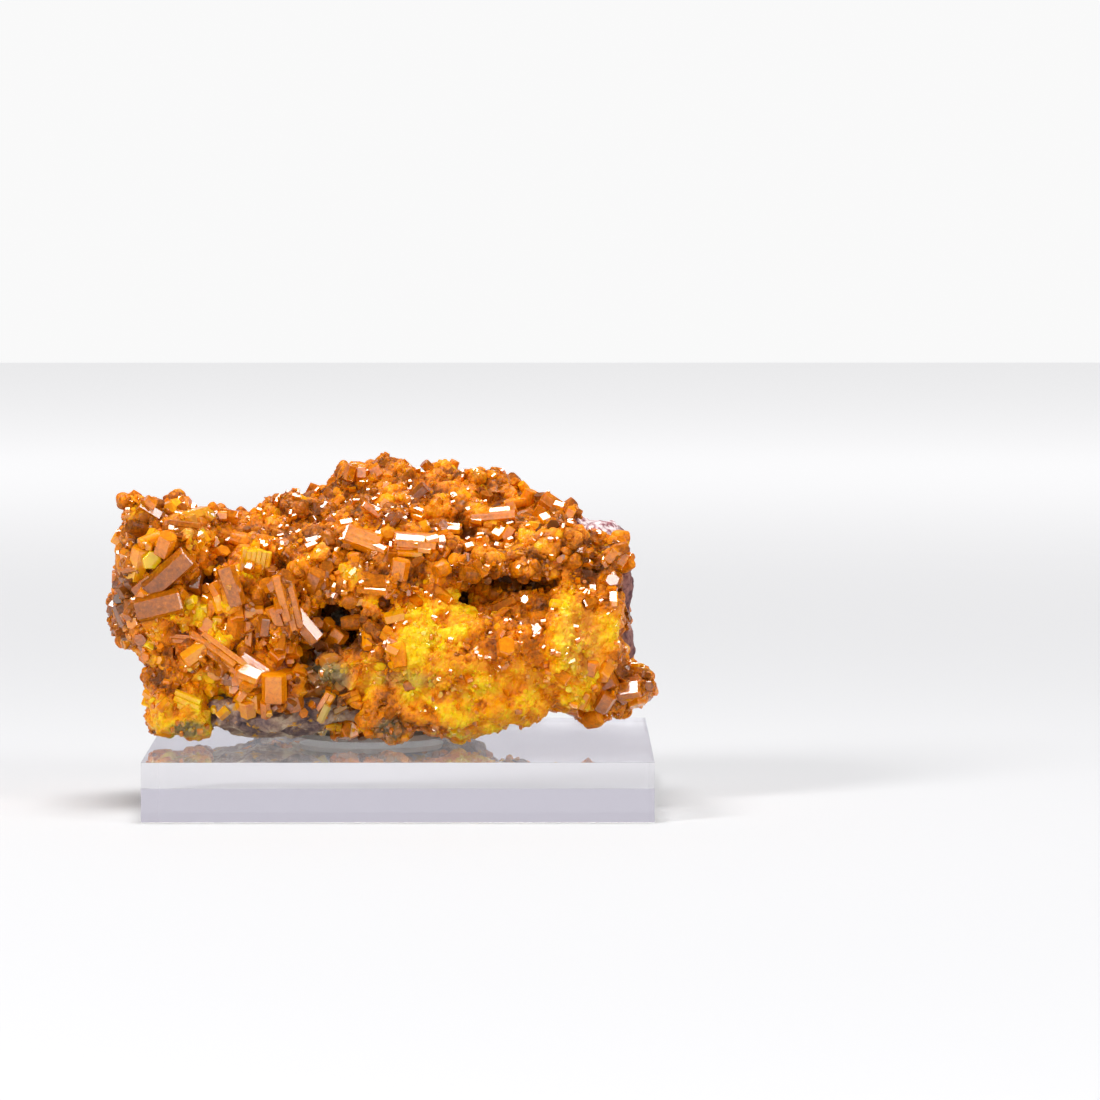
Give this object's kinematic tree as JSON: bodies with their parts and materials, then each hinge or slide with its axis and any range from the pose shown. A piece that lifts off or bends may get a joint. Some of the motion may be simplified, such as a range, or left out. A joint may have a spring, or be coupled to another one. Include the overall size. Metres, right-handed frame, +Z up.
{
  "type": "mimetite specimen on display slab",
  "caption": "Orange and yellow mimetite crystal crust on dark rock matrix, resting on a clear square acrylic display slab.",
  "frame": {"origin": "middle of the slab's underside", "axes": "+Z up, +X to the right along the specimen's length as seen from its crystal side, +Y away from that side"},
  "size_m": [0.0531, 0.048, 0.033],
  "materials": {
    "mimetite": "glassy to resinous orange and yellow crystal faces",
    "rock": "dull, rough, purple-brown",
    "clear_acrylic": "polished and clear",
    "clear_tack": "soft, clear, faintly milky"
  },
  "bodies": {
    "root": {"mimetite_crust": "mimetite", "matrix": "rock", "display_slab": "clear_acrylic", "tack_dot": "clear_tack"}
  },
  "joints": []
}
